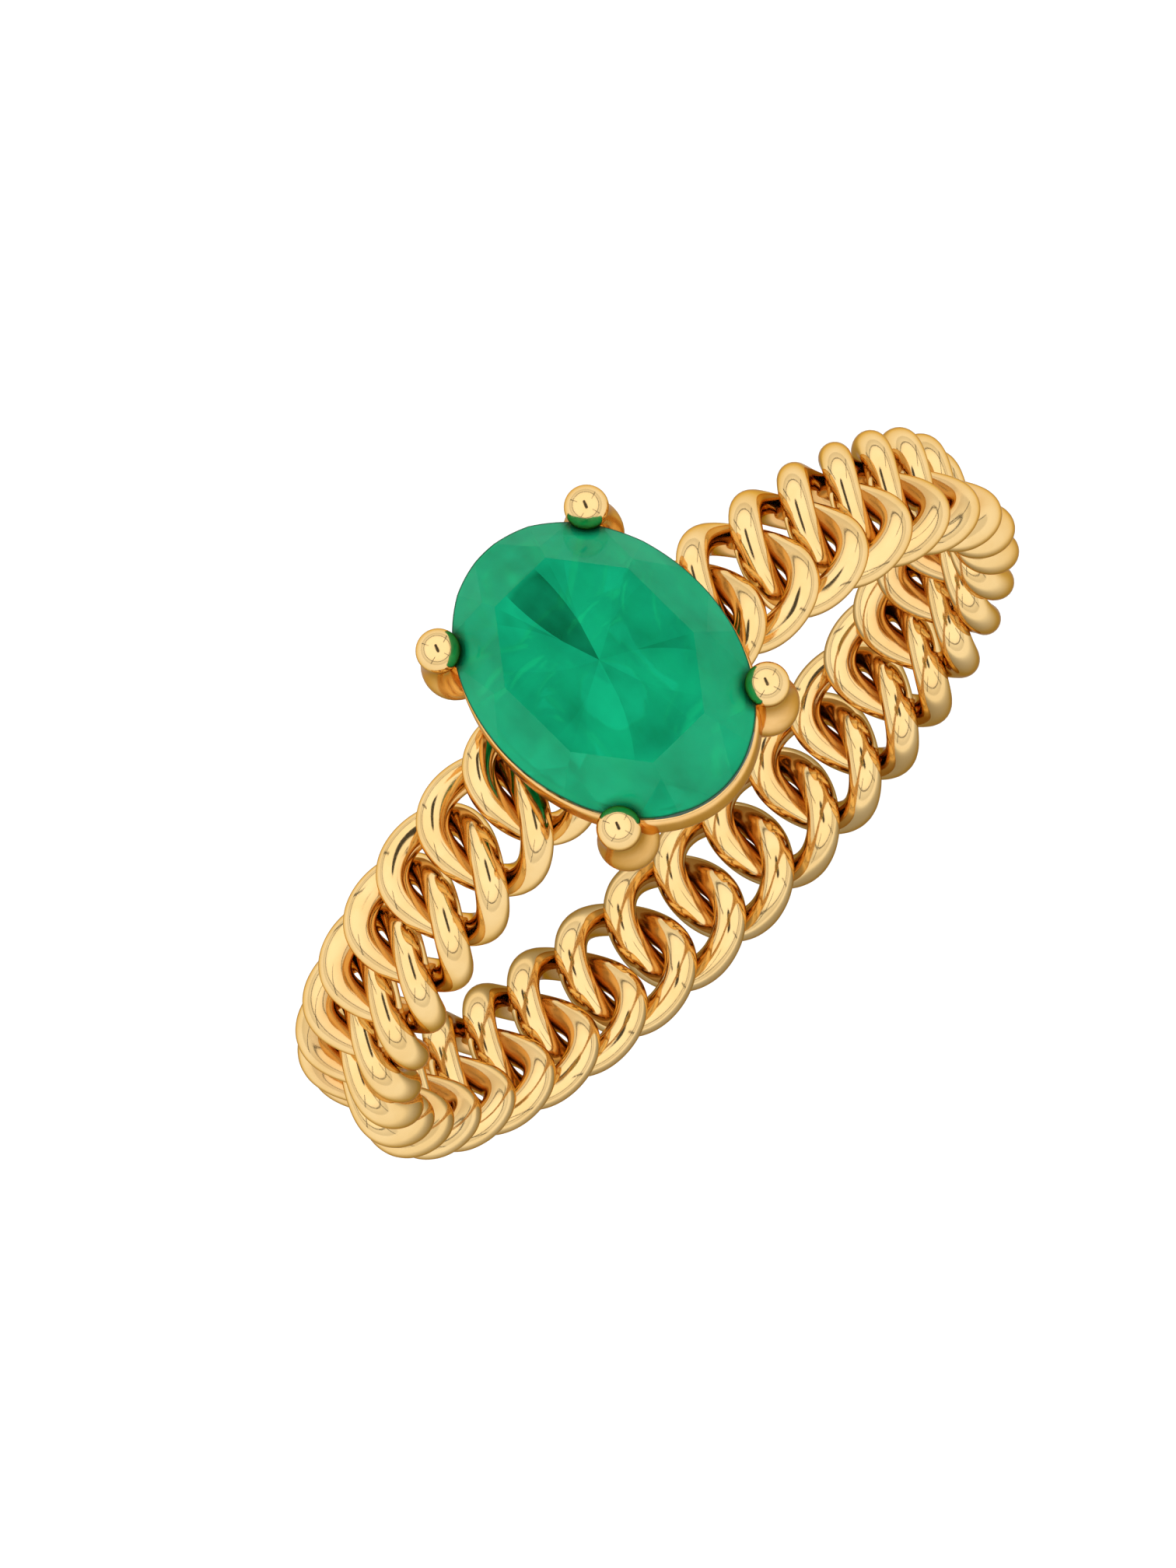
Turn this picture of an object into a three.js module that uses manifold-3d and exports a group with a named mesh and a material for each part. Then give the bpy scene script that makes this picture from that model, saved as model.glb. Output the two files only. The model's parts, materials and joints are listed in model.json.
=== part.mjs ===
// A cocktail ring in millimetres: an oval emerald in a four-claw head on a round-wire curb chain.
// +Z points up through the stone, Y is the finger's axis, and the origin is the centre of the finger opening.
import * as THREE from "three";
import { ConvexGeometry } from "three/addons/geometries/ConvexGeometry.js";
import { ParametricGeometry } from "three/addons/geometries/ParametricGeometry.js";
import { mergeVertices } from "three/addons/utils/BufferGeometryUtils.js";
import loadManifold from "manifold-3d";

// ---- Driving dimensions, millimetres ----
const fingerBore = 17.75; // inside diameter of the band, US size 7 1/2
const wireDiameter = 0.74; // round wire of the chain's links
const chainWidth = 3.6; // across the links, along the finger
const pitchInWires = 2.26; // distance from link to link, in wire diameters
const linkGap = 0.06; // running clearance between hooked links
const twistShare = 1.135; // how far a link's sides are twisted off its plane, in wire radii

const stoneWidth = 6; // girdle, across the finger
const stoneLength = 8; // girdle, along the finger
const crownHeight = 0.95;
const girdleThickness = 0.16;
const pavilionDepth = 1.95;
const tableShare = 0.58; // table width over girdle width
const starRise = 0.56; // lower corners of the star facets above the girdle, as a share of the crown
const starSpread = 0.03; // and how far beyond half way from table to girdle, in girdle widths
const breakDepth = 0.55; // where the pavilion's short facets end, as a share of its depth
const breakShare = 0.46; // and the pavilion's width there over girdle width
const culetLift = 0.85; // culet above the finger bore

const beadDiameter = 1.05; // ball on the tip of a claw
const clawDiameter = 1.1; // claw shaft under the bead
const beadOffset = 0.3; // bead centre outside the girdle line
const beadRise = 0.32; // bead centre above the girdle's middle
const clawAngle = 45; // degrees round the oval from the X axis
// Where a claw's line bends, as shares of its way out and up from its foot on the bridge.
const clawBends = [
  { out: 0.98, up: 0.65 },
  { out: 0.74, up: 0.28 },
];
const footInsetX = 0.1; // foot's centre inside the bridge's side, in claw diameters
const footInsetY = 0.45; // foot's centre inside the bridge's end, in claw diameters
const footRise = 0.75; // foot's centre above the finger bore, in bridge thicknesses

const railWall = 0.5;
const railHeight = 1.1;
const railDrop = 0.2; // rail's top edge below the girdle
const railOverhang = 0.04; // rail's outer face outside the girdle line

const bridgeThickness = 0.46;
const bridgeWidth = 1.5; // across the finger, between the first two links
const bridgeLength = 4.6; // along the finger
const culetHoleWidth = 0.9;
const culetHoleLength = 1.3;
const lugReach = 72; // degrees of a link's loop on each side of a lug's tip
const lugSpread = 0.04; // a lug's legs stand this much wider than a link

const settingGap = 0.03; // between the stone and the metal that holds it
const bandGap = 0.1; // between the moving chain and the rail and claws that pass over it

// ---- Mesh fineness ----
const wireSides = 8;
const linkSteps = 14;
const lugSteps = 14;
const lugPoints = 5; // points of its line on each side of a lug's tip
const clawSides = 10;
const clawSteps = 8;
const beadSides = 12;
const beadRings = 8;
const girdleSides = 32;
const mainFacets = 8; // of the crown, and of the pavilion
const railSteps = 24;
const bridgeSteps = 6;
const holeSides = 20;
const roomSides = 144;
const weldDistance = 1e-4;

// ---- Sizes that follow ----
const degrees = Math.PI / 180;
const wireRadius = wireDiameter / 2;
const boreRadius = fingerBore / 2;
const twistRise = wireRadius * twistShare;
const chainRadius = boreRadius + twistRise + wireRadius;
const chainOuterRadius = chainRadius + twistRise + wireRadius;
// An even number of places for links, so that the band is the same on both sides of the stone.
const linkPlaces = 2 * Math.floor((Math.PI * chainRadius) / (pitchInWires * wireDiameter));
const linkPitch = (2 * Math.PI) / linkPlaces;
const linkHalfWidth = chainWidth / 2 - wireRadius;
const linkHalfLength =
  (wireRadius + linkGap / 2 + chainRadius * Math.sin(linkPitch / 2)) / Math.cos(linkPitch / 2);
const culetZ = boreRadius + culetLift;
const girdleZ = culetZ + pavilionDepth + girdleThickness / 2;
const beadZ = girdleZ + beadRise;

const gold = { color: 0xe6b96e, metalness: 1, roughness: 0.18 };
const satinGold = { color: 0xd6a45e, metalness: 1, roughness: 0.32 };
const emeraldGreen = { color: 0x109c66, metalness: 0, roughness: 0.06, transparent: true, opacity: 0.85 };

const wasm = await loadManifold();
wasm.setup();

// A three.js geometry as a manifold-3d solid. Coincident vertices are welded first.
function solid(geometry) {
  const bare = geometry.clone();
  bare.deleteAttribute("normal");
  bare.deleteAttribute("uv");
  const welded = mergeVertices(bare, weldDistance);
  return new wasm.Manifold(
    new wasm.Mesh({
      numProp: 3,
      vertProperties: new Float32Array(welded.attributes.position.array),
      triVerts: new Uint32Array(welded.index.array),
    }),
  );
}

// A manifold-3d solid as a three.js geometry.
function geometryOf(manifold) {
  const mesh = manifold.getMesh();
  const geometry = new THREE.BufferGeometry();
  geometry.setAttribute("position", new THREE.BufferAttribute(mesh.vertProperties, 3));
  geometry.setIndex(new THREE.BufferAttribute(mesh.triVerts, 1));
  return geometry;
}

function named(name, geometry, finish) {
  const flat = geometry.index ? geometry.toNonIndexed() : geometry;
  flat.computeVertexNormals();
  const mesh = new THREE.Mesh(flat, new THREE.MeshStandardMaterial(finish));
  mesh.name = name;
  return mesh;
}

function roundSection(radius, sides) {
  const circle = new THREE.Shape();
  for (let i = 0; i < sides; i++) {
    const turn = (2 * Math.PI * (i + 0.5)) / sides;
    const corner = new THREE.Vector2(radius * Math.cos(turn), radius * Math.sin(turn));
    if (i === 0) circle.moveTo(corner.x, corner.y);
    else circle.lineTo(corner.x, corner.y);
  }
  circle.closePath();
  return circle;
}

// Round bar along a smooth curve through the points, with closed ends.
function barAlong(points, radius, sides, steps) {
  return new THREE.ExtrudeGeometry(roundSection(radius, sides), {
    steps,
    extrudePath: new THREE.CatmullRomCurve3(points),
    bevelEnabled: false,
  });
}

// ---- Chain ----

// Centre line of a curb link at a turn round its loop, in the link's own frame: x along the chain,
// y along the finger, z away from the finger. The sin(2 * turn) term is the curb's twist.
function linkCentre(turn, target) {
  return target.set(
    linkHalfLength * Math.cos(turn),
    linkHalfWidth * Math.sin(turn),
    -twistRise * Math.sin(2 * turn),
  );
}

function linkTangent(turn, target) {
  return target
    .set(
      -linkHalfLength * Math.sin(turn),
      linkHalfWidth * Math.cos(turn),
      -2 * twistRise * Math.cos(2 * turn),
    )
    .normalize();
}

function linkGeometry() {
  const centre = new THREE.Vector3();
  const tangent = new THREE.Vector3();
  const outward = new THREE.Vector3();
  const side = new THREE.Vector3();
  const surface = (across, along, target) => {
    const turn = 2 * Math.PI * along;
    const round = 2 * Math.PI * across;
    linkCentre(turn, centre);
    linkTangent(turn, tangent);
    outward.copy(centre).addScaledVector(tangent, -centre.dot(tangent)).normalize();
    side.crossVectors(tangent, outward);
    target
      .copy(centre)
      .addScaledVector(outward, wireRadius * Math.cos(round))
      .addScaledVector(side, wireRadius * Math.sin(round));
  };
  return new ParametricGeometry(surface, wireSides, linkSteps);
}

// Places a mesh made in a link's own frame at an angle round the band, measured from +Z towards +X.
function placeOnBand(mesh, angle) {
  mesh.rotation.y = angle;
  mesh.position.set(chainRadius * Math.sin(angle), 0, chainRadius * Math.cos(angle));
}

function chain() {
  const band = new THREE.Group();
  const geometry = geometryOf(solid(linkGeometry()));
  // The first and last places are under the stone and belong to the bridge.
  for (let place = 1; place < linkPlaces - 1; place++) {
    const link = named(`link_${String(place).padStart(2, "0")}`, geometry, gold);
    placeOnBand(link, (place + 0.5) * linkPitch);
    band.add(link);
  }
  return band;
}

// ---- Head ----

function ovalRing(count, z, share, offset) {
  return Array.from({ length: count }, (_, i) => {
    const turn = (2 * Math.PI * (i + offset)) / count;
    return new THREE.Vector3(
      (stoneWidth / 2) * share * Math.cos(turn),
      (stoneLength / 2) * share * Math.sin(turn),
      z,
    );
  });
}

// Faceted oval: table, stars and bezels, girdle, pavilion mains and culet, about the girdle's middle.
function stoneGeometry() {
  const top = girdleThickness / 2;
  const starZ = top + crownHeight * starRise;
  const breakZ = -top - pavilionDepth * breakDepth;
  const corners = [
    ...ovalRing(mainFacets, top + crownHeight, tableShare, 0.5),
    ...ovalRing(mainFacets, starZ, (1 + tableShare) / 2 + starSpread, 0),
    ...ovalRing(girdleSides, top, 1, 0),
    ...ovalRing(girdleSides, -top, 1, 0),
    ...ovalRing(mainFacets, breakZ, breakShare, 0.5),
    new THREE.Vector3(0, 0, -top - pavilionDepth),
  ];
  return new ConvexGeometry(corners);
}

// The room that the metal leaves for the stone.
function stoneRoom(stone) {
  const grow = (size) => (size + 2 * settingGap) / size;
  const height = crownHeight + girdleThickness + pavilionDepth;
  return stone
    .scale([grow(stoneWidth), grow(stoneLength), grow(height)])
    .translate([0, 0, girdleZ]);
}

// The room that the rail and claws leave for the chain under them.
function chainRoom() {
  const radius = chainOuterRadius + bandGap;
  return solid(new THREE.CylinderGeometry(radius, radius, chainWidth + 2 * bandGap, roomSides));
}

// The finger opening, which nothing on the head reaches into.
function fingerRoom() {
  return solid(new THREE.CylinderGeometry(boreRadius, boreRadius, 2 * stoneLength, roomSides));
}

function clawSolid(sideX, sideY) {
  const turn = clawAngle * degrees;
  const outwardX = Math.cos(turn) / stoneWidth;
  const outwardY = Math.sin(turn) / stoneLength;
  const outwardLength = Math.hypot(outwardX, outwardY);
  const beadX = (stoneWidth / 2) * Math.cos(turn) + (beadOffset * outwardX) / outwardLength;
  const beadY = (stoneLength / 2) * Math.sin(turn) + (beadOffset * outwardY) / outwardLength;
  const footX = bridgeWidth / 2 - clawDiameter * footInsetX;
  const footY = bridgeLength / 2 - clawDiameter * footInsetY;
  const footZ = boreRadius + bridgeThickness * footRise;
  const at = (out, z) =>
    new THREE.Vector3(
      sideX * (footX + (beadX - footX) * out),
      sideY * (footY + (beadY - footY) * out),
      z,
    );
  const bends = clawBends.map(({ out, up }) => at(out, footZ + up * (girdleZ - footZ)));
  const path = [at(1, beadZ), ...bends, at(0, footZ)];
  const shaft = solid(barAlong(path, clawDiameter / 2, clawSides, clawSteps));
  const ball = new THREE.SphereGeometry(beadDiameter / 2, beadSides, beadRings);
  ball.rotateX(Math.PI / 2).translate(sideX * beadX, sideY * beadY, beadZ);
  return shaft.add(solid(ball));
}

function railSolid() {
  const outerX = stoneWidth / 2 + railOverhang;
  const outerY = stoneLength / 2 + railOverhang;
  const outline = new THREE.Shape().absellipse(0, 0, outerX, outerY, 0, 2 * Math.PI);
  const inside = new THREE.Path().absellipse(
    0,
    0,
    outerX - railWall,
    outerY - railWall,
    0,
    2 * Math.PI,
  );
  outline.holes.push(inside);
  const ring = new THREE.ExtrudeGeometry(outline, {
    depth: railHeight,
    curveSegments: railSteps,
    bevelEnabled: false,
  });
  return solid(ring.translate(0, 0, girdleZ - girdleThickness / 2 - railDrop - railHeight));
}

// Half a link at the end of the bridge, for the first link of the chain to hook into.
function lugSolid(side) {
  const frame = new THREE.Object3D();
  placeOnBand(frame, side * 0.5 * linkPitch);
  frame.updateMatrix();
  const legX = side * (bridgeWidth / 2 - wireRadius);
  const legY = linkHalfWidth + lugSpread;
  const legZ = boreRadius + bridgeThickness / 2;
  const points = [new THREE.Vector3(legX, -legY, legZ)];
  for (let i = -lugPoints; i <= lugPoints; i++) {
    const turn = (i / lugPoints) * lugReach * degrees;
    const point = linkCentre(side > 0 ? turn : Math.PI - turn, new THREE.Vector3());
    points.push(point.applyMatrix4(frame.matrix));
  }
  points.push(new THREE.Vector3(legX, legY, legZ));
  return solid(barAlong(points, wireRadius, wireSides, lugSteps));
}

// Saddle under the stone: a curved plate with a hole for the culet and a lug at each end.
function bridgeSolid() {
  const halfAngle = Math.asin(bridgeWidth / 2 / boreRadius);
  const outerRadius = boreRadius + bridgeThickness;
  const side = new THREE.Shape();
  side.absarc(0, 0, outerRadius, Math.PI / 2 - halfAngle, Math.PI / 2 + halfAngle, false);
  side.absarc(0, 0, boreRadius, Math.PI / 2 + halfAngle, Math.PI / 2 - halfAngle, true);
  const plate = new THREE.ExtrudeGeometry(side, {
    depth: bridgeLength,
    curveSegments: bridgeSteps,
    bevelEnabled: false,
  });
  plate.translate(0, 0, -bridgeLength / 2).rotateX(Math.PI / 2);
  const holeRadius = culetHoleWidth / 2;
  const hole = new THREE.CylinderGeometry(holeRadius, holeRadius, 2 * outerRadius, holeSides);
  hole.rotateX(Math.PI / 2).scale(1, culetHoleLength / culetHoleWidth, 1).translate(0, 0, outerRadius);
  return solid(plate).subtract(solid(hole)).add(lugSolid(1)).add(lugSolid(-1));
}

function head() {
  const group = new THREE.Group();
  const stone = solid(stoneGeometry());
  const room = stoneRoom(stone);
  const overChain = chainRoom();
  const finger = fingerRoom();
  const bridge = bridgeSolid().subtract(room).subtract(finger);
  const claws = {};
  for (const [word, sideY] of [["front", -1], ["back", 1]]) {
    for (const [hand, sideX] of [["left", -1], ["right", 1]]) {
      claws[`claw_${word}_${hand}`] = clawSolid(sideX, sideY).subtract(room).subtract(finger);
    }
  }
  let rail = railSolid().subtract(room).subtract(overChain);
  for (const name of Object.keys(claws)) {
    claws[name] = claws[name].subtract(bridge);
    rail = rail.subtract(claws[name]);
    group.add(named(name, geometryOf(claws[name]), satinGold));
  }
  group.add(named("gallery_rail", geometryOf(rail), satinGold));
  group.add(named("bridge", geometryOf(bridge), gold));
  const emerald = named("emerald", stoneGeometry(), emeraldGreen);
  emerald.position.z = girdleZ;
  group.add(emerald);
  return group;
}

const ring = new THREE.Group();
ring.add(head(), chain());

export default ring;
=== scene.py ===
# %% [markdown]
# # A cocktail ring: an oval green stone on a band of curb-chain links
#
# The ring stands with the finger's axis along Y and its stone on top. A fixed model of it is already
# packed: it knows where each link hinges and how big everything is. This lesson loads that model and
# gives every piece its finished surface, so nothing here is measured again: places are read from the
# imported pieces. Lengths are in metres, and one millimetre is 0.001.

import json
import math

import bmesh
import bpy
import numpy as np
from mathutils import Matrix, Vector


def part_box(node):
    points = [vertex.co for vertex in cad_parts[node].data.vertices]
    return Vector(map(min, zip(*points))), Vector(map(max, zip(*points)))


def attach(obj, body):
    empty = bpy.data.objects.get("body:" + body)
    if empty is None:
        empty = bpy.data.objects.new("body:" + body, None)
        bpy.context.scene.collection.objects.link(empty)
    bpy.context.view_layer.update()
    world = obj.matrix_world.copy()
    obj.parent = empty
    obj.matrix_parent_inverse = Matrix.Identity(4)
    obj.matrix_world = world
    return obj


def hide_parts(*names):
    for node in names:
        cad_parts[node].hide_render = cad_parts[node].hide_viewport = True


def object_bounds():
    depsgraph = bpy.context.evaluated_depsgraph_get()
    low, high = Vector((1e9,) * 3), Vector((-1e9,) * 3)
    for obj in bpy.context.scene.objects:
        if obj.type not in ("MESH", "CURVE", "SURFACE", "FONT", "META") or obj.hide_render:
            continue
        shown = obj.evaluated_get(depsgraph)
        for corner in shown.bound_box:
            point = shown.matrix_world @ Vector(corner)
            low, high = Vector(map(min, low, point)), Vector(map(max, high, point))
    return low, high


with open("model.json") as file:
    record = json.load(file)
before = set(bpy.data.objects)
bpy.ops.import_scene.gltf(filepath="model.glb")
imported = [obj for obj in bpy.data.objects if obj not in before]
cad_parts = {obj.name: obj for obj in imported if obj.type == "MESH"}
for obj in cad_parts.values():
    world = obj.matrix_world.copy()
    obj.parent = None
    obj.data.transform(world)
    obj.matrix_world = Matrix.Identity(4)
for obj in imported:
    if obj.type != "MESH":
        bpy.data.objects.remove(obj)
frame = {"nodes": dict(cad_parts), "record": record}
CAD_LOW, CAD_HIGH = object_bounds()
MM = 0.001
TURN = 2 * math.pi
print("packed box, mm:", [round((h - l) / MM, 2) for l, h in zip(CAD_LOW, CAD_HIGH)])

# %% [markdown]
# ## Places that come from the frame
#
# A link's shape is the same seen from either side, so the middle of its box is the middle of the link.
# The distance of that middle from the finger's axis is the radius of the chain, and its direction says
# which way the link is turned. The stone's box gives the stone's length, width and height.

# %% Read the places
LINKS = sorted(name for name in frame["nodes"] if name.startswith("link_"))
CLAWS = sorted(name for name in frame["nodes"] if name.startswith("claw_"))


def middle(node):
    """Half way between a node's lowest and highest corners."""
    low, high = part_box(node)
    return (low + high) / 2


LINK_ANGLE = {name: math.atan2(middle(name).x, middle(name).z) for name in LINKS}
CHAIN_RADIUS = float(np.mean([math.hypot(middle(name).x, middle(name).z) for name in LINKS]))
LINK_STEP = TURN / round(TURN / abs(LINK_ANGLE[LINKS[1]] - LINK_ANGLE[LINKS[0]]))
CHAIN_WIDTH = float(np.mean([(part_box(name)[1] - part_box(name)[0]).y for name in LINKS]))
STONE_LOW, STONE_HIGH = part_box("emerald")
print(len(LINKS), "links,", round(math.degrees(LINK_STEP), 2), "degrees apart, radius",
      round(CHAIN_RADIUS / MM, 3), "mm, chain", round(CHAIN_WIDTH / MM, 2), "mm wide")

# %% [markdown]
# ## Surfaces from grids
#
# Almost every piece of this ring is a bar or a strip: it closes on itself, or a flat face closes each
# end. Such a surface is a grid of points in two directions: along the piece, and round its section.
# Blender only wants the points and the list of four-cornered faces between them, and numpy works both
# out for the whole grid at once.

# %% Put a grid of points into a mesh
def grid_faces(rows, columns):
    """Four corners of each face of a grid that closes along the piece and round the section.
    Corner (i, j) joins (i + 1, j), (i + 1, j + 1) and (i, j + 1), counted round again at the ends."""
    i, j = np.meshgrid(np.arange(rows), np.arange(columns), indexing="ij")
    i2, j2 = (i + 1) % rows, (j + 1) % columns
    corners = np.stack([i * columns + j, i2 * columns + j, i2 * columns + j2, i * columns + j2], -1)
    return corners.reshape(-1, 4)


def mesh_piece(name, points, faces, body, finish, stands_for, smooth=True, tags=None):
    """Makes one finished piece from points and faces, hangs it on its body and hides the part it stands
    for.
    Points are in metres in the ring's frame. tags are numbers kept with each point, by name."""
    mesh = bpy.data.meshes.new(name)
    mesh.from_pydata(points.tolist(), [], faces if isinstance(faces, list) else faces.tolist())
    for tag, values in (tags or {}).items():
        mesh.attributes.new(tag, "FLOAT", "POINT").data.foreach_set("value", values.astype(np.float32))
    solid = bmesh.new()
    solid.from_mesh(mesh)
    bmesh.ops.recalc_face_normals(solid, faces=solid.faces)
    solid.to_mesh(mesh)
    solid.free()
    mesh.polygons.foreach_set("use_smooth", [smooth] * len(mesh.polygons))
    mesh.materials.append(finish)
    piece = bpy.data.objects.new(name, mesh)
    bpy.context.scene.collection.objects.link(piece)
    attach(piece, body)
    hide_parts(stands_for)
    return piece


def bar_points(line, radius, sides, away, closed=False):
    """A round bar carried along a line: at each point of the line stands a circle, square to the line.
    The circle's first spoke points away from the line, so that the bar doesn't twist on its way."""
    if closed:
        ahead = np.roll(line, -1, 0) - np.roll(line, 1, 0)
    else:
        ahead = np.gradient(line, axis=0)
    ahead /= np.linalg.norm(ahead, axis=1, keepdims=True)
    out = away - (away * ahead).sum(1, keepdims=True) * ahead
    out /= np.linalg.norm(out, axis=1, keepdims=True)
    side = np.cross(ahead, out)
    angle = np.arange(sides) * TURN / sides
    spokes = np.cos(angle)[None, :, None] * out[:, None] + np.sin(angle)[None, :, None] * side[:, None]
    return line[:, None] + np.asarray(radius).reshape(-1, 1, 1) * spokes


def open_bar_faces(rows, columns, first=0):
    """Faces of a bar with two ends, each closed by one flat face."""
    body = (grid_faces(rows, columns)[: (rows - 1) * columns] + first).tolist()
    last = first + (rows - 1) * columns
    return body + [list(range(first, first + columns)), list(range(last, last + columns))]


# %% [markdown]
# ## Shader formulas
#
# A material's pattern is a chain of small nodes, and a chain is hard to read as a list of links. The
# class below wraps one socket, so that `0.1 + 0.2 * scratches` adds the Math nodes by itself. Any other
# node comes from one method: it takes the node's type, its settings and its sockets.

# %% A small language for materials
class Value:
    """A number that changes over a surface: one output socket, with the usual arithmetic."""

    def __init__(self, finish, socket):
        self.finish, self.socket = finish, socket

    def _with(self, operation, first, second=0.0):
        return self.finish.add("Math", {"operation": operation}, {0: first, 1: second})

    def __add__(self, other):
        return self._with("ADD", self, other)

    def __sub__(self, other):
        return self._with("SUBTRACT", self, other)

    def __rsub__(self, other):
        return self._with("SUBTRACT", other, self)

    def __mul__(self, other):
        return self._with("MULTIPLY", self, other)

    def __abs__(self):
        return self._with("ABSOLUTE", self)

    __radd__, __rmul__ = __add__, __mul__


class Finish:
    """One material, or the world: a node tree, its shader, and the method that adds any node."""

    def __init__(self, owner, shader):
        owner.use_nodes = True
        self.owner, self.tree = owner, owner.node_tree
        self.shader = self.tree.nodes[shader]

    def add(self, kind, settings=None, sockets=None, out=0):
        """Adds a node: its settings and ramp stops first, then a number, a colour or a link per socket."""
        node = self.tree.nodes.new("ShaderNode" + kind)
        for name, setting in (settings or {}).items():
            if name == "stops":
                self._stops(node.color_ramp, setting)
            elif name == "interpolation":
                node.color_ramp.interpolation = setting
            else:
                setattr(node, name, setting)
        for name, given in (sockets or {}).items():
            self.join(node.inputs[name], given)
        return Value(self, node.outputs[out])

    def _stops(self, ramp, stops):
        elements = ramp.elements
        for place, colour in stops[2:]:
            elements.new(place)
        for element, (place, colour) in zip(elements, stops):
            element.position, element.color = place, colour

    def join(self, socket, given):
        if isinstance(given, Value):
            self.tree.links.new(given.socket, socket)
        else:
            socket.default_value = given

    def set(self, **inputs):
        """Sets sockets of the shader itself: Base_Color stands for Base Color."""
        for name, given in inputs.items():
            self.join(self.shader.inputs[name.replace("_", " ")], given)

    def noise(self, per_mm, detail=2.0, stretch=(1, 1, 1), soft=0.5):
        """Cloudy noise with that many blotches per millimetre, drawn out along an axis by stretch."""
        place = self.add("TexCoord", out=3)
        drawn = self.add("Mapping", sockets={"Vector": place, "Scale": stretch})
        return self.add("TexNoise", sockets={"Vector": drawn, "Scale": per_mm / MM,
                                             "Detail": detail, "Roughness": soft})

    def ramp(self, value, low, high):
        """0 below low, 1 above high, and a smooth rise between them."""
        return self.add("MapRange", {"interpolation_type": "SMOOTHSTEP"},
                        {"Value": value, "From Min": low, "From Max": high})

    def mix(self, share, first, second):
        """Colour first where share is 0, and colour second where it is 1."""
        return self.add("Mix", {"data_type": "RGBA"}, {0: share, 6: first, 7: second}, out=2)


# %% [markdown]
# ## Polished yellow gold
#
# Gold's own colour is the colour of its reflections, so it is a metal with a warm base colour. Where
# gold faces gold, light is tinted twice or more, and the hollows turn orange by themselves. On top of
# that, painted shade makes the base colour browner all round the inside of each loop. A worn,
# hand-polished ring isn't a perfect mirror. It has a faint haze that comes and goes, hairlines from
# wear, and a duller spot on each link where its neighbour rubs.

# %% Make the polished gold
GOLD_LIGHT = (0.80, 0.57, 0.265, 1)
GOLD_DEEP = (0.765, 0.525, 0.225, 1)
# Painted shade: the brown that the inside of each loop is painted with.
GOLD_RECESS_SHADE = (0.58, 0.25, 0.06, 1)
EDGE_TINT = (0.72, 0.46, 0.20, 1)
POLISH, HAZE_DULLS, LINE_DULLS, CROSS_DULLS, RUB_DULLS = 0.075, 0.05, 0.035, 0.03, 0.09
# How much of that painted shade shows inside the loops, at least and with the haze.
RECESS_SHADE_LEAST, RECESS_SHADE_HAZE = 0.3, 0.4


def polished_gold():
    """Roughness = a mirror polish + a little haze + hairlines + the rubbed spots of the links."""
    gold = Finish(bpy.data.materials.new("polished_gold"), "Principled BSDF")
    haze = gold.noise(per_mm=1.1, detail=3.0)
    hairlines = gold.ramp(gold.noise(per_mm=7.0, detail=3.0, stretch=(1, 14, 1)), low=0.58, high=0.72)
    cross_lines = gold.ramp(gold.noise(per_mm=6.0, detail=3.0, stretch=(15, 1, 2)), low=0.6, high=0.74)
    rubbed = gold.add("Attribute", {"attribute_name": "rubbed"}, out=2)
    # Painted shade inside the loops: the tag read below says where the base colour turns brown.
    hollow = gold.add("Attribute", {"attribute_name": "hollow"}, out=2)
    grain = gold.noise(per_mm=30.0)
    open_gold = gold.mix(gold.ramp(haze, low=0.35, high=0.65), GOLD_LIGHT, GOLD_DEEP)
    dull = HAZE_DULLS * haze + LINE_DULLS * hairlines + CROSS_DULLS * cross_lines + RUB_DULLS * rubbed
    gold.set(
        # Base colour: the hazy gold, with painted shade inside the loops.
        Base_Color=gold.mix(hollow * (RECESS_SHADE_LEAST + RECESS_SHADE_HAZE * haze), open_gold, GOLD_RECESS_SHADE),
        Metallic=1.0,
        Specular_Tint=EDGE_TINT,
        Roughness=POLISH + dull,
        Normal=gold.add("Bump", None, {"Strength": 0.12, "Distance": 0.002 * MM,
                                       "Height": 0.5 * hairlines + 0.5 * cross_lines + rubbed * grain}),
    )
    return gold.owner


POLISHED_GOLD = polished_gold()
print("finish:", POLISHED_GOLD.name, len(POLISHED_GOLD.node_tree.nodes), "nodes")

# %% [markdown]
# ## Satin gold
#
# The stems of the claws and the wall of the collar are hard to reach with a polishing wheel, so they
# keep a soft sheen. Fine lines run up and down them, as a file or a brush leaves them.

# %% Make the satin gold
SATIN_LIGHT = (0.84, 0.55, 0.245, 1)
SATIN_DEEP = (0.78, 0.49, 0.195, 1)
SATIN_POLISH, SATIN_HAZE, SATIN_BRUSH, SATIN_PITS = 0.12, 0.06, 0.08, 0.06


def satin_gold():
    """The same metal, rougher, with brushed lines along the height of the piece."""
    gold = Finish(bpy.data.materials.new("satin_gold"), "Principled BSDF")
    haze = gold.noise(per_mm=1.4, detail=3.0)
    brushed = gold.noise(per_mm=26.0, stretch=(1, 1, 0.05))
    pits = gold.ramp(gold.noise(per_mm=16.0), low=0.68, high=0.78)
    gold.set(
        Base_Color=gold.mix(gold.ramp(haze, low=0.35, high=0.65), SATIN_LIGHT, SATIN_DEEP),
        Metallic=1.0,
        Specular_Tint=EDGE_TINT,
        Roughness=SATIN_POLISH + SATIN_HAZE * haze + SATIN_BRUSH * brushed + SATIN_PITS * pits,
        Normal=gold.add("Bump", None, {"Strength": 0.2, "Distance": 0.003 * MM,
                                       "Height": brushed - 0.5 * pits}),
    )
    return gold.owner


SATIN_GOLD = satin_gold()
print("finish:", SATIN_GOLD.name, len(SATIN_GOLD.node_tree.nodes), "nodes")

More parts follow.
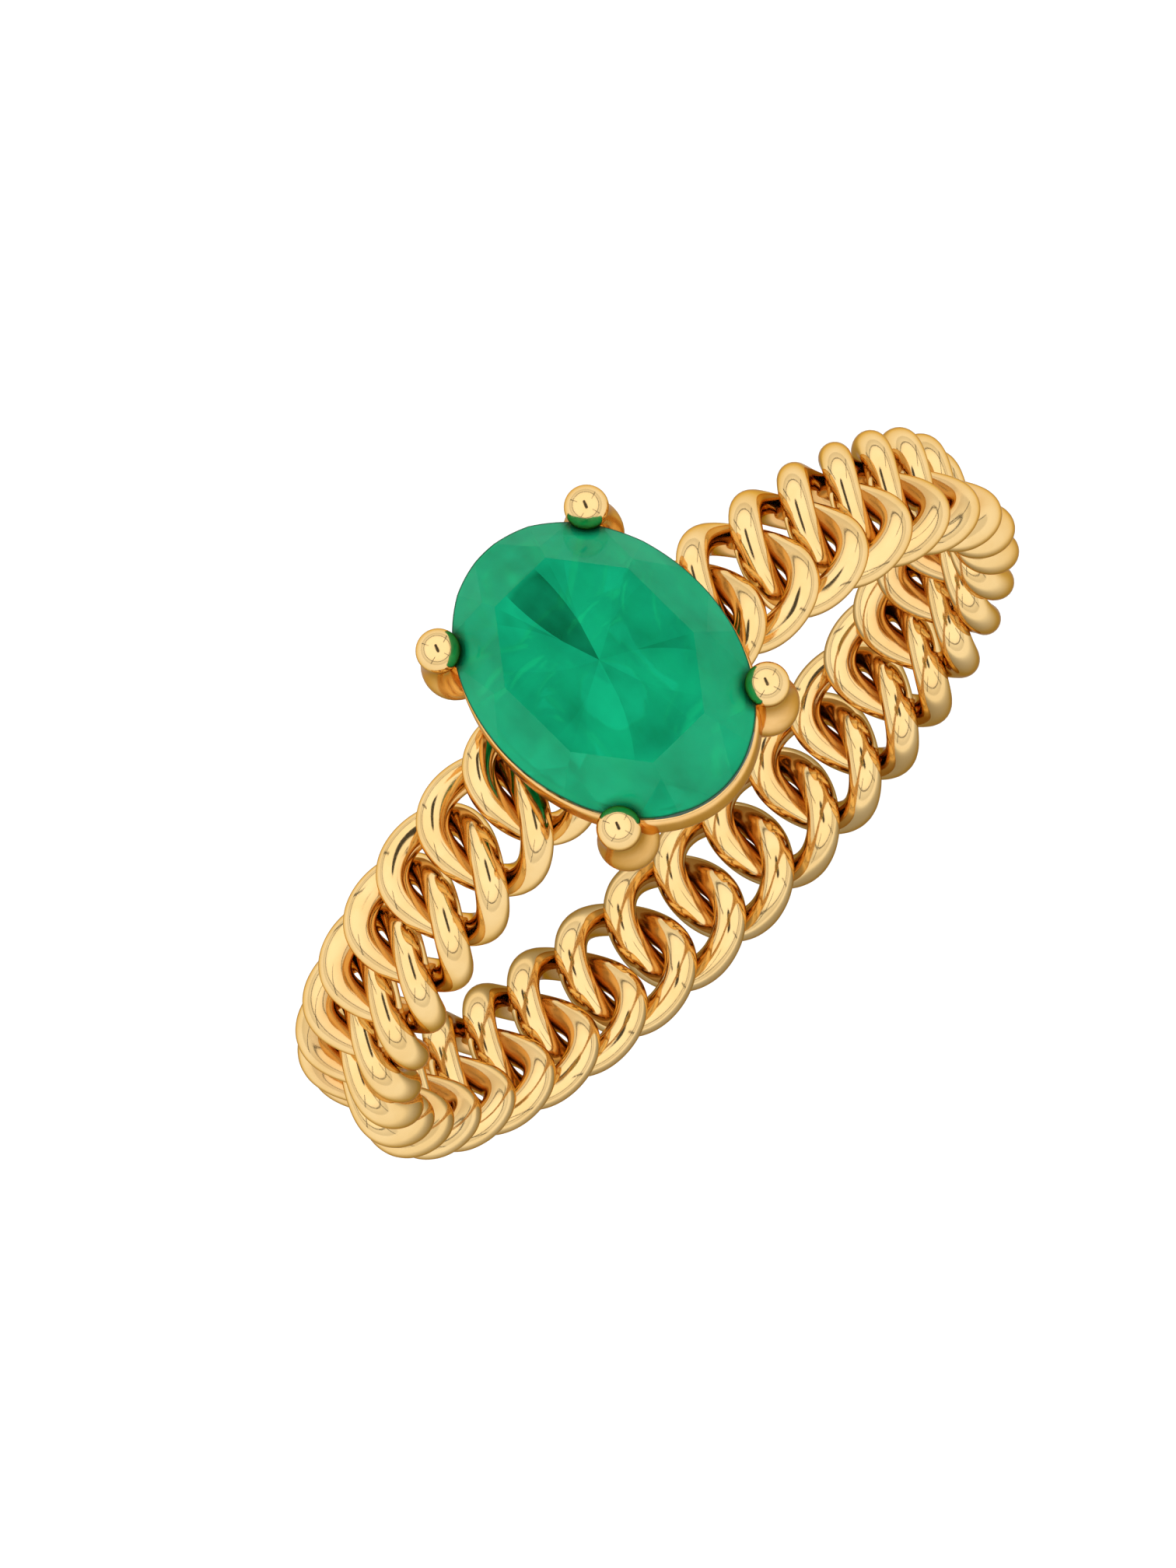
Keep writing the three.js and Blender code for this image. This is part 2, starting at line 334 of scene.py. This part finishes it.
# %% [markdown]
# ## The band: curb-chain links
#
# A curb link is a ring of round wire, bent to an oval and then twisted a quarter turn so that it lies
# flat against its neighbours. One loop round the link, the wire goes out, up, back and down twice in
# height for once in length: that is a sine at double speed. Carrying a circle along this line gives
# the link, and every link is the same one, turned to its own place on the finger.

# %% Make the links
WIRE = 0.776 * MM
TWIST = 0.42 * MM
LINK_REACH = 1.247 * MM
LINK_STEPS, WIRE_SIDES = 128, 28
LINK_HALF_WIDTH = (CHAIN_WIDTH - WIRE) / 2
LOOP = np.arange(LINK_STEPS) * TURN / LINK_STEPS
# How fast the painted shade inside a loop fades round the wire.
RECESS_SHADE_FADE = 1.5


def link_line(t=LOOP):
    """The wire's middle line in the link's own place: x along the chain, y across it, z off the finger.
    x is a cosine, y a sine and z minus a sine of twice the angle."""
    return np.stack([LINK_REACH * np.cos(t), LINK_HALF_WIDTH * np.sin(t), -TWIST * np.sin(2 * t)], 1)


def link_tags():
    """rubbed is 1 on the inner side of both ends of a link, where the next link bears on it. The second tag
    is 1 all round the inside of the loop, where painted shade makes the gold's base colour browner."""
    spoke = np.arange(WIRE_SIDES) * TURN / WIRE_SIDES
    ends = np.clip(np.abs(np.cos(LOOP)) * 2 - 1, 0, 1) ** 2
    inner = np.clip(-np.cos(spoke), 0, 1)
    return {"rubbed": (ends[:, None] * inner**2).ravel(),
            "hollow": (np.ones_like(LOOP)[:, None] * inner**RECESS_SHADE_FADE).ravel()}


def turned(points, angle):
    """Points turned about the finger's axis, from the top of the ring towards +X."""
    c, s = math.cos(angle), math.sin(angle)
    x, y, z = points[..., 0], points[..., 1], points[..., 2] + CHAIN_RADIUS
    return np.stack([x * c + z * s, y, z * c - x * s], -1)


LINK_SHAPE = bar_points(link_line(), WIRE / 2, WIRE_SIDES, link_line(), closed=True).reshape(-1, 3)
LINK_FACES = grid_faces(LINK_STEPS, WIRE_SIDES)
for name in LINKS:
    mesh_piece("fine_" + name, turned(LINK_SHAPE, LINK_ANGLE[name]), LINK_FACES, name,
               POLISHED_GOLD, name, tags=link_tags())
print(len(LINKS), "links of", len(LINK_FACES), "faces, wire", round(WIRE / MM, 2), "mm, reach",
      round(LINK_REACH / MM, 4), "mm")

# %% [markdown]
# ## The stone
#
# A cutter grinds a stone one flat facet at a time, and Blender can do the same: start from an oval
# blank, and cut it with one plane after another. The oval is a round stone stretched along the finger,
# and a stretch keeps flat facets flat, so the planes are laid out for a round stone. On top there is a
# table, eight star facets, eight kites and sixteen small facets above the edge, and below it eight
# long facets and sixteen short ones meet at the point.

# %% Cut the stone
STONE_MIDDLE = (STONE_LOW + STONE_HIGH) / 2
HALF_WIDTH, HALF_LENGTH = (STONE_HIGH.x - STONE_LOW.x) / 2, (STONE_HIGH.y - STONE_LOW.y) / 2
CROWN, EDGE = 0.95 * MM, 0.16 * MM
PAVILION = STONE_HIGH.z - STONE_LOW.z - CROWN - EDGE
TABLE_SHARE = 0.66
MAIN_FACETS = 8
STAR_RISE, STAR_SLOPE = 0.58, 0.56
UPPER_SLOPE, LOWER_SLOPE = 1.22, 1.12
BLANK_SIDES = 128
CUT_EXACTNESS, WELD = 1e-9, 1e-7


def facet_planes():
    """Planes of a round stone of radius 1 with its edge from -EDGE to 0, as (direction, height at the
    rim, slope): along its direction a plane falls by slope for each unit of distance from the axis."""
    main = CROWN / (1 - TABLE_SHARE)
    mains = [i / MAIN_FACETS for i in range(MAIN_FACETS)]
    stars = [(i + 0.5) / MAIN_FACETS for i in range(MAIN_FACETS)]
    halves = [(i + 0.5) / (2 * MAIN_FACETS) for i in range(2 * MAIN_FACETS)]
    planes = [(turn, 0.0, main) for turn in mains]
    planes += [(turn, CROWN * STAR_RISE, main * STAR_SLOPE) for turn in stars]
    planes += [(turn, 0.0, main * UPPER_SLOPE) for turn in halves]
    planes += [(turn, -EDGE, -PAVILION) for turn in mains]
    planes += [(turn, -EDGE, -PAVILION * LOWER_SLOPE) for turn in halves]
    return planes


def cut(blank, through, outwards):
    """Takes away what lies beyond a plane, and closes the cut with one flat face."""
    parts = blank.verts[:] + blank.edges[:] + blank.faces[:]
    made = bmesh.ops.bisect_plane(blank, geom=parts, plane_co=through, plane_no=outwards,
                                  clear_outer=True, dist=CUT_EXACTNESS)
    edges = [e for e in made["geom_cut"] if isinstance(e, bmesh.types.BMEdge)]
    if len(edges) > 2:
        bmesh.ops.contextual_create(blank, geom=edges)


def cut_stone():
    """Cuts the round blank with every plane, then stretches it to the oval and sets it in its place."""
    blank = bmesh.new()
    bmesh.ops.create_cone(blank, cap_ends=True, segments=BLANK_SIDES, radius1=1, radius2=1,
                          depth=2 * (CROWN + EDGE + PAVILION))
    cut(blank, (0, 0, CROWN), (0, 0, 1))
    for share, height, slope in facet_planes():
        c, s = math.cos(share * TURN), math.sin(share * TURN)
        normal = Vector((c * abs(slope), s * abs(slope), 1 if slope > 0 else -1))
        cut(blank, (c, s, height), normal)
    place = Matrix.Translation((STONE_MIDDLE.x, STONE_MIDDLE.y, STONE_HIGH.z - CROWN))
    stretch = Matrix.Diagonal((HALF_WIDTH, HALF_LENGTH, 1, 1))
    bmesh.ops.transform(blank, verts=blank.verts, matrix=place @ stretch)
    bmesh.ops.remove_doubles(blank, verts=blank.verts, dist=WELD)
    points = np.array([v.co for v in blank.verts])
    faces = [[v.index for v in f.verts] for f in blank.faces]
    blank.free()
    return points, faces


# %% [markdown]
# ### The green of the stone
#
# The stone is clear enough to show its own facets, and milky enough to hide what is under it. A clear
# green glass with a share of soft green body colour gives both. The crystal grew in clouds, and its
# body colour follows them. The facets below the edge, as they would show through the table, are
# painted into the body colour as painted reflections, and the crown around the table gets one even
# painted share of them.

# %% Make the green stone finish
BALL = 1.05 * MM
BALL_PLACE = (max(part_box(name)[1].x for name in CLAWS) - BALL / 2,
              max(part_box(name)[1].y for name in CLAWS) - BALL / 2, 0)
GREEN_SHADOW = (0.001, 0.05, 0.02, 1)
GREEN_DEEP = (0.001, 0.10, 0.036, 1)
GREEN_LIGHT = (0.008, 0.60, 0.295, 1)
STONE_SEED = 3
# Painted reflections: one shade for each long facet below the edge, the dark one included.
LONG_REFLECTION_SHADES = (0.55, 0.75, 0.5, 0.7, 0.6, 0.8, 0.0, 0.65, 0.55)
LONG_REFLECTION_STOPS = [(i / len(LONG_REFLECTION_SHADES), (g, g, g, 1)) for i, g in enumerate(LONG_REFLECTION_SHADES)]
LONG_REACH, FACET_LINE, STOP_INSET = 1.25, 0.01, 0.02
# Painted reflections of the short facets, and one even painted reflection share for the crown around the
# table.
SHORT_REFLECTION_SHADE, SHORT_REFLECTION_SPREAD = 0.45, 0.3
CROWN_REFLECTION_SHADE, TABLE_BLUR = 0.62, 0.04
CLOUD_PART, VEIL_PART, FACET_REFLECTION_PART = 0.5, 0.25, 0.4
SHADE_LOW, SHADE_HIGH = 0.17, 0.8
BALL_COVERS, BALL_CLEARS = 0.48 * MM, 0.80 * MM
LIP_COVERS, LIP_CLEARS = 1.0, 0.985


def painted_facet_reflections(green):
    """Painted reflections of the facets below the edge, as they would show through the table from above.
    Gives the painted share of the long facet at a place, the random painted share of the short one, 1 where
    the long one shows, and the distance from the stone's axis. Angle and distance are taken in the round
    stone, before the stretch to the oval."""
    place = green.add("TexCoord", out=3)
    unit = green.add("Mapping", sockets={"Vector": place, "Scale": (1 / HALF_WIDTH, 1 / HALF_LENGTH, 1)})
    split = green.add("SeparateXYZ", sockets={0: unit})
    x, y = (Value(green, split.socket.node.outputs[i]) for i in range(2))
    angle = green.add("Math", {"operation": "ARCTAN2"}, {0: y, 1: x}) * (MAIN_FACETS / TURN)
    distance = green.add("Math", {"operation": "SQRT"}, {0: x * x + y * y})
    nearest = green.add("Math", {"operation": "ROUND"}, {0: angle})
    off_middle = abs(angle - nearest) * 2
    is_long = green.ramp(LONG_REACH - distance - off_middle, -FACET_LINE, FACET_LINE)
    long_share = green.add("ValToRGB", {"stops": LONG_REFLECTION_STOPS, "interpolation": "CONSTANT"},
                           {0: (nearest + MAIN_FACETS / 2) * (1 / len(LONG_REFLECTION_SHADES)) + STOP_INSET})
    short_side = green.add("Math", {"operation": "FLOOR"}, {0: angle * 2})
    short_share = green.add("TexWhiteNoise", {"noise_dimensions": "1D"}, {"W": short_side * 3 + STONE_SEED})
    return long_share, short_share, is_long, distance


def contact_shadow(green, distance):
    """1 in the open, and 0 where a claw's ball or the collar's lip covers the stone. The four balls mirror
    each other across both axes, so x and y are taken without their signs."""
    place = green.add("TexCoord", out=3)
    mirrored = green.add("VectorMath", {"operation": "ABSOLUTE"}, {0: place})
    flat = green.add("VectorMath", {"operation": "MULTIPLY"}, {0: mirrored, 1: (1, 1, 0)})
    ball = green.add("VectorMath", {"operation": "DISTANCE"}, {0: flat, 1: BALL_PLACE}, out=1)
    return green.ramp(ball, BALL_COVERS, BALL_CLEARS) * green.ramp(distance, LIP_COVERS, LIP_CLEARS)


def green_stone():
    """Clouds and fine veils shift the body colour between a deep and a light green, and painted reflections
    of the facets below the table shift it too. A painted shadow darkens it at the balls and the lip.
    """
    green = Finish(bpy.data.materials.new("green_stone"), "Principled BSDF")
    clouds = green.noise(per_mm=0.55, detail=3.0)
    veils = green.noise(per_mm=1.6, detail=4.0, stretch=(1, 0.4, 1))
    # The facet shares below are painted reflections, not the stone's own colour.
    long_facets, short_facets, is_long, distance = painted_facet_reflections(green)
    facets = long_facets * is_long + (SHORT_REFLECTION_SHADE + SHORT_REFLECTION_SPREAD * short_facets) * (1 - is_long)
    under_table = green.ramp(distance, TABLE_SHARE + TABLE_BLUR, TABLE_SHARE - TABLE_BLUR)
    facets = CROWN_REFLECTION_SHADE + (facets - CROWN_REFLECTION_SHADE) * under_table
    # depth: the clouds and veils, the stone's own tone, plus the painted facet reflections.
    depth = CLOUD_PART * clouds + VEIL_PART * veils + FACET_REFLECTION_PART * facets
    body = green.mix(green.ramp(depth, SHADE_LOW, SHADE_HIGH), GREEN_DEEP, GREEN_LIGHT)
    marks = green.ramp(green.noise(per_mm=9.0), low=0.62, high=0.8)
    green.set(
        Base_Color=green.mix(contact_shadow(green, distance), GREEN_SHADOW, body),
        Roughness=0.08 + 0.03 * marks,
        IOR=1.3,
        Specular_IOR_Level=0.1,
        Transmission_Weight=0.5,
    )
    return green.owner


GREEN_STONE = green_stone()
STONE_POINTS, STONE_FACES = cut_stone()
mesh_piece("cut_emerald", STONE_POINTS, STONE_FACES, "head", GREEN_STONE, "emerald",
           smooth=False)
print("stone:", len(STONE_FACES), "faces,", round(2 * HALF_LENGTH / MM, 2), "x",
      round(2 * HALF_WIDTH / MM, 2), "mm")

# %% [markdown]
# ## The claws
#
# Each of the four claws is a stem that rises from the bridge, passes the collar and ends in a small
# ball, pressed down on the rim of the stone. The stem and the ball are one shape: a circle whose radius
# changes along a line. The ball is polished and the stem is satin.

# %% Make the claws
CLAW_STEPS, CLAW_SIDES = 110, 40
STEM_TOP, STEM_FOOT = 0.48 * MM, 0.42 * MM
BELLY, BELLY_PLACE, BELLY_SPREAD = 0.27 * MM, 2.35 * MM, 0.8 * MM
NECK, BALL_FOOT = 0.72 * BALL, 0.9 * BALL
TIP_RADIUS = 0.02 * MM
STRAIGHT_SHARE, TURN_SHARE = 0.78, 0.95
BRIDGE_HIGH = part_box("bridge")[1]
CLAW_FOOT = np.array([BRIDGE_HIGH.x * 0.26, BRIDGE_HIGH.y * 0.78])


def claw_line(node):
    """From the ball's top straight down, then in under the stone to the bridge: a Bezier curve, which
    leaves its first point towards the second and reaches its last point from the third."""
    low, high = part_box(node)
    side = np.array([np.sign(low.x + high.x), np.sign(low.y + high.y)])
    tip = side * (np.maximum(np.abs((low.x, low.y)), np.abs((high.x, high.y))) - BALL / 2)
    foot = side * CLAW_FOOT
    turn_in = foot + (tip - foot) * TURN_SHARE
    top, bottom = high.z, low.z + STEM_FOOT
    straight_end = top - STRAIGHT_SHARE * (top - bottom)
    corners = np.array([(*tip, top), (*tip, straight_end), (*turn_in, bottom), (*foot, bottom)])
    t = ((1 - np.cos(np.linspace(0, 1, CLAW_STEPS) * math.pi)) / 2)[:, None]
    return ((1 - t) ** 3 * corners[0] + 3 * t * (1 - t) ** 2 * corners[1]
            + 3 * t**2 * (1 - t) * corners[2] + t**3 * corners[3])


def claw_radius(line):
    """The ball's circle at the top, then the stem: it swells to its belly beside the collar, as a bell
    curve of the length run, and thins again to the foot. Below the ball's middle the larger one shows."""
    run = np.concatenate([[0], np.cumsum(np.linalg.norm(np.diff(line, axis=0), axis=1))])
    ball = np.sqrt(np.clip(BALL**2 / 4 - (run - BALL / 2) ** 2, TIP_RADIUS**2, None))
    share = np.clip((run - BALL / 2) / (run[-1] - BALL / 2), 0, 1)
    belly = BELLY * np.exp(-(((run - BELLY_PLACE) / BELLY_SPREAD) ** 2))
    stem = STEM_TOP + (STEM_FOOT - STEM_TOP) * share + belly
    return np.where(run < NECK, ball, np.maximum(ball, stem))


for name in CLAWS:
    line = claw_line(name)
    inwards = line[-1] - line[0]
    across = np.array([[-inwards[1], inwards[0], 0]])
    points = bar_points(line, claw_radius(line), CLAW_SIDES, across)
    claw = mesh_piece("fine_" + name, points.reshape(-1, 3), open_bar_faces(CLAW_STEPS, CLAW_SIDES),
                      "head", SATIN_GOLD, name)
    claw.data.materials.append(POLISHED_GOLD)
    ball_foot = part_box(name)[1].z - BALL_FOOT
    claw.data.polygons.foreach_set("material_index", [f.center.z > ball_foot for f in claw.data.polygons])
print(len(CLAWS), "claws, ball", round(BALL / MM, 2), "mm")

# %% [markdown]
# ## The collar under the stone
#
# A thin oval wall joins the claws just below the edge of the stone. Its upper edge is rounded and
# catches a bright line. The wall's section is a tall rounded rectangle, carried round the oval.

# %% Make the collar
COLLAR_STEPS, COLLAR_SIDES = 256, 40
COLLAR_LOW, COLLAR_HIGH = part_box("gallery_rail")
WALL = 0.5 * MM


def rounded(sides, half_width, half_height, sharpness=4.0):
    """A section between an ellipse and a rectangle: cosine and sine, each raised to 2 / sharpness."""
    angle = np.arange(sides) * TURN / sides
    c, s = np.cos(angle), np.sin(angle)
    power = 2 / sharpness
    return (half_width * np.sign(c) * np.abs(c) ** power, half_height * np.sign(s) * np.abs(s) ** power)


def collar_points():
    """The rounded section stands square to the oval at each of its points."""
    size = COLLAR_HIGH - COLLAR_LOW
    half_x, half_y = size.x / 2 - WALL / 2, size.y / 2 - WALL / 2
    t = np.arange(COLLAR_STEPS) * TURN / COLLAR_STEPS
    out = np.stack([half_y * np.cos(t), half_x * np.sin(t)], 1)
    out /= np.linalg.norm(out, axis=1, keepdims=True)
    across, up = rounded(COLLAR_SIDES, WALL / 2, size.z / 2)
    x = half_x * np.cos(t)[:, None] + out[:, :1] * across
    y = half_y * np.sin(t)[:, None] + out[:, 1:] * across
    z = np.broadcast_to((COLLAR_LOW.z + COLLAR_HIGH.z) / 2 + up, x.shape)
    return np.stack([x, y, z], -1)


mesh_piece("fine_gallery_rail", collar_points().reshape(-1, 3), grid_faces(COLLAR_STEPS, COLLAR_SIDES),
           "head", SATIN_GOLD, "gallery_rail")
print("collar:", round((COLLAR_HIGH.z - COLLAR_LOW.z) / MM, 2), "mm high")

# %% [markdown]
# ## The bridge
#
# The chain's two ends hook on a small curved plate under the stone. It has a hole below the point of
# the stone, and an eye at each side that is shaped like half a link.

# %% Make the bridge
PLATE_STEPS, PLATE_SIDES = 160, 32
EYE_REACH = math.radians(72)
HOLE_HALF = (0.45 * MM, 0.65 * MM)
BORE = frame["record"]["mounts"][0]["dims"]["r_mm"] * MM
PLATE_HIGH = 0.46 * MM
PLATE_HALF = (0.75 * MM, 2.3 * MM)
PLATE_SHARPNESS = 6.0
EYE_STEPS, LEG_STEPS, KNEE_REACH = 49, 12, 6


def plate_points():
    """A rounded section carried round the hole: each spoke runs from the hole's oval to the plate's
    outline, and the flat result is bent to the finger by turning each point about the finger's axis."""
    t = np.arange(PLATE_STEPS) * TURN / PLATE_STEPS
    outline = np.stack(rounded(PLATE_STEPS, *PLATE_HALF, sharpness=PLATE_SHARPNESS), 1)[:, None]
    hole = np.stack([HOLE_HALF[0] * np.cos(t), HOLE_HALF[1] * np.sin(t)], 1)[:, None]
    across, up = rounded(PLATE_SIDES, 0.5, PLATE_HIGH / 2)
    flat = hole + (outline - hole) * (across + 0.5)[:, None]
    radius = BORE + PLATE_HIGH / 2 + up
    angle = flat[..., 0] / BORE
    return np.stack([radius * np.sin(angle), flat[..., 1], radius * np.cos(angle)], -1)


def eye_line(side):
    """Half of a link's line, with a leg at each end that curves down into the plate."""
    t = np.linspace(-EYE_REACH, EYE_REACH, EYE_STEPS)
    arc = link_line(t) if side > 0 else link_line(math.pi - t)
    arc = turned(arc, side * LINK_STEP / 2)
    leg_x, leg_z = side * (PLATE_HALF[0] - WIRE / 2), BORE + PLATE_HIGH / 2
    s = np.linspace(0, 1, LEG_STEPS + 1)[1:, None]
    legs = []
    for end, before in ((arc[-1], arc[-2]), (arc[0], arc[1])):
        leg = np.array([leg_x, np.sign(end[1]) * LINK_HALF_WIDTH, leg_z])
        knee = end + (end - before) * KNEE_REACH
        legs.append((1 - s) ** 2 * end + 2 * s * (1 - s) * knee + s**2 * leg)
    return np.concatenate([legs[1][::-1], arc, legs[0]])


points, faces = plate_points().reshape(-1, 3), grid_faces(PLATE_STEPS, PLATE_SIDES).tolist()
for side in (1, -1):
    line = eye_line(side)
    faces += open_bar_faces(len(line), WIRE_SIDES, first=len(points))
    eye = bar_points(line, WIRE / 2, WIRE_SIDES, line - line.mean(0))
    points = np.concatenate([points, eye.reshape(-1, 3)])
mesh_piece("fine_bridge", points, faces, "head", POLISHED_GOLD, "bridge")
print("bridge:", len(faces), "faces")

# %% [markdown]
# ## Floor, light and camera
#
# Jewellery is shown in a bright tent: wide soft lights on all sides, with narrow dark gaps between
# them that draw lines on the polished metal. A dark bar overhead keeps the flat top of the stone from
# mirroring a light, so that its green stays deep. The floor is a pale sheet that glows: almost white to
# the camera, and grey with a painted shadow under the ring in the metal's reflections.

# %% Set the stage
FLOOR_HALF, FLOOR_DROP = 0.6, 3.0 * MM
FLOOR_GREY = (0.25, 0.25, 0.25, 1)
GLOW_SEEN, GLOW_PAINTED_SHADOW, GLOW_AROUND = (0.82, 0.82, 0.82, 1), (0.16, 0.16, 0.16, 1), (0.85, 0.85, 0.85, 1)
GLOW_STARTS, GLOW_FULL = 13 * MM, 32 * MM


def pale_floor():
    """A wide pale sheet, low enough for the band at its longest. To the camera it glows almost white, so
    that it stays pale in every view. To the metal it glows grey, standing in for a lit floor, and a painted
    shadow darkens it under the ring."""
    z = CAD_LOW.z - FLOOR_DROP
    mesh = bpy.data.meshes.new("floor")
    ring = [(FLOOR_HALF * x, FLOOR_HALF * y, z) for x, y in ((-1, -1), (1, -1), (1, 1), (-1, 1))]
    mesh.from_pydata(ring, [], [(0, 1, 2, 3)])
    pale = Finish(bpy.data.materials.new("pale_floor"), "Principled BSDF")
    seen = pale.add("LightPath", out=0)
    place = pale.add("TexCoord", out=3)
    away = pale.add("VectorMath", {"operation": "LENGTH"}, {0: place}, out=1)
    # Painted shadow: the glow that the metal sees is dark under the ring and grey further out.
    glow = pale.mix(pale.ramp(away, GLOW_STARTS, GLOW_FULL), GLOW_PAINTED_SHADOW, GLOW_AROUND)
    pale.set(Base_Color=FLOOR_GREY, Roughness=0.9, Emission_Strength=1.0,
             Emission_Color=pale.mix(seen, glow, GLOW_SEEN))
    mesh.materials.append(pale.owner)
    floor = bpy.data.objects.new("floor", mesh)
    bpy.context.scene.collection.objects.link(floor)


pale_floor()

# %% Light the tent
TENT_TOP, TENT_SIDE, FULL_HEIGHT = 1.45, 0.95, 0.62
TENT_WHITE = (1.0, 0.985, 0.96, 1)
GAP_CORE, GAP_WIDTH, GAP_LIGHT = 0.014, 0.035, 0.05
UPRIGHT_GAPS = ((1, 0.35, 0.10), (-0.3, 1, 0.28))
UPRIGHT_FADES, UPRIGHT_ENDS, LEVEL_GAP = 0.7, 0.85, 0.32
BAR_X, BAR_Y, BAR_REACH = 0.356, 0.934, 0.27
BAR_EDGE, BAR_CLEAR = 0.11, 0.165


def tent():
    """Brightness rises with height. Two gaps stand upright: each is dark close to a plane through the
    ring, and ends near the top. A third one runs level all round. A dark bar hangs overhead."""
    world = bpy.data.worlds.new("tent")
    bpy.context.scene.world = world
    sky = Finish(world, "Background")
    direction = sky.add("TexCoord", out=0)
    split = sky.add("SeparateXYZ", sockets={0: direction})
    x, y, z = (Value(sky, split.socket.node.outputs[i]) for i in range(3))
    near_top = sky.ramp(z, UPRIGHT_FADES, UPRIGHT_ENDS)
    gaps = [abs(a * x + b * y + c * z) + near_top for a, b, c in UPRIGHT_GAPS]
    gaps.append(abs(z - LEVEL_GAP))
    open_light = 1.0
    for gap in gaps:
        open_light = sky.ramp(gap, GAP_CORE, GAP_WIDTH) * open_light
    along = sky.add("Clamp", sockets={0: x * BAR_X + y * BAR_Y, 1: -BAR_REACH, 2: BAR_REACH})
    off_x, off_y = x - along * BAR_X, y - along * BAR_Y
    off_bar = sky.add("Math", {"operation": "SQRT"}, {0: off_x * off_x + off_y * off_y})
    open_light = open_light * sky.ramp(off_bar, BAR_EDGE, BAR_CLEAR)
    light = TENT_SIDE + (TENT_TOP - TENT_SIDE) * sky.ramp(z, 0.0, FULL_HEIGHT)
    sky.set(Color=TENT_WHITE, Strength=light * (GAP_LIGHT + (1 - GAP_LIGHT) * open_light))


tent()

# %% Place the camera
FAR = 0.7656
TILT, SWING, ROLL = 0.2685, -0.3642, -0.4183
ACROSS, UPWARDS = 1.6383 * MM, 0.2460 * MM
VIEW_HEIGHT = 36.656 * MM


def place_camera():
    """Looks down at the ring from TILT off the vertical, swung round it and rolled about its own axis.
    The lens follows from the height that the view has to cover at the ring's middle."""
    rise = math.pi / 2 - TILT
    back = Vector((math.sin(SWING) * math.cos(rise), -math.cos(SWING) * math.cos(rise), math.sin(rise)))
    level_up = Vector((-math.sin(SWING) * math.sin(rise), math.cos(SWING) * math.sin(rise), math.cos(rise)))
    level_right = (-back).cross(level_up)
    right = math.cos(ROLL) * level_right + math.sin(ROLL) * level_up
    up = math.cos(ROLL) * level_up - math.sin(ROLL) * level_right
    place = back * FAR - right * ACROSS + up * UPWARDS
    lens = bpy.data.cameras.new("camera")
    lens.sensor_fit = "VERTICAL"
    lens.sensor_height = 36
    lens.lens = 36 * FAR / VIEW_HEIGHT
    lens.clip_end = 20
    camera = bpy.data.objects.new("camera", lens)
    camera.matrix_world = Matrix((*zip(right, up, back, place), (0, 0, 0, 1)))
    bpy.context.scene.collection.objects.link(camera)
    bpy.context.scene.camera = camera
    print("camera:", round(lens.lens, 1), "mm lens,", round(math.degrees(rise), 1), "degrees up")


place_camera()
bpy.context.scene.view_settings.view_transform = "Standard"
